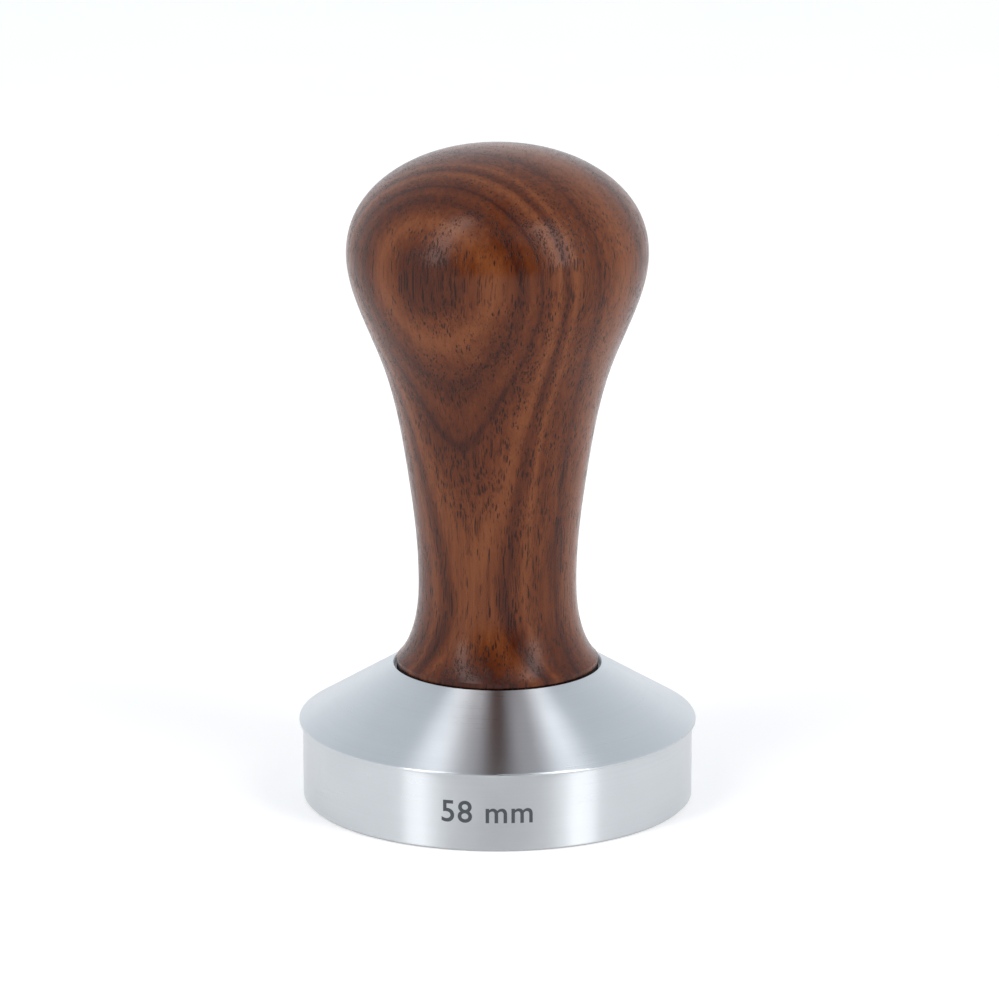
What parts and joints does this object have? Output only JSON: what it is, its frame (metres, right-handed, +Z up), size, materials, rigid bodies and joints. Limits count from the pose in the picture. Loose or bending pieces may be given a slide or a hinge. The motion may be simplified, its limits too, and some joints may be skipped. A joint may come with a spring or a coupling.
{
  "type": "espresso tamper",
  "caption": "Hand tamper: turned steel piston with an overhanging lip and a cone, and a waisted wooden knob that screws onto it.",
  "frame": {"origin": "centre of the tamping face, on the turning axis", "axes": "+Z up along the turning axis, from the tamping face to the knob's crown; +X and +Y are free, and the size mark faces -Y"},
  "size_m": [0.059, 0.059, 0.0981],
  "materials": {
    "turned_steel": "fine lathe-turned stainless steel",
    "stud_steel": "plain steel screw",
    "rubber": "matt black rubber",
    "brass": "machined brass",
    "walnut": "turned dark wood under satin lacquer"
  },
  "bodies": {
    "base": {"piston": "turned_steel", "stud": "stud_steel"},
    "carrier": {"washer": "rubber"},
    "handle": {"handle": "walnut", "insert": "brass"}
  },
  "joints": [
    {"name": "handle_lift", "type": "slide", "parent": "base", "child": "carrier", "axis": [0, 0, 1], "range_m": [0, 0.0125]},
    {"name": "handle_unscrew", "type": "hinge", "parent": "carrier", "child": "handle", "pos_m": [0, 0, 0.0202], "axis": [0, 0, 1], "range_deg": [0, 3600]}
  ],
  "couplings": [
    {"joint": "handle_lift", "follows": "handle_unscrew", "m_per_rad": 0.00019894}
  ]
}
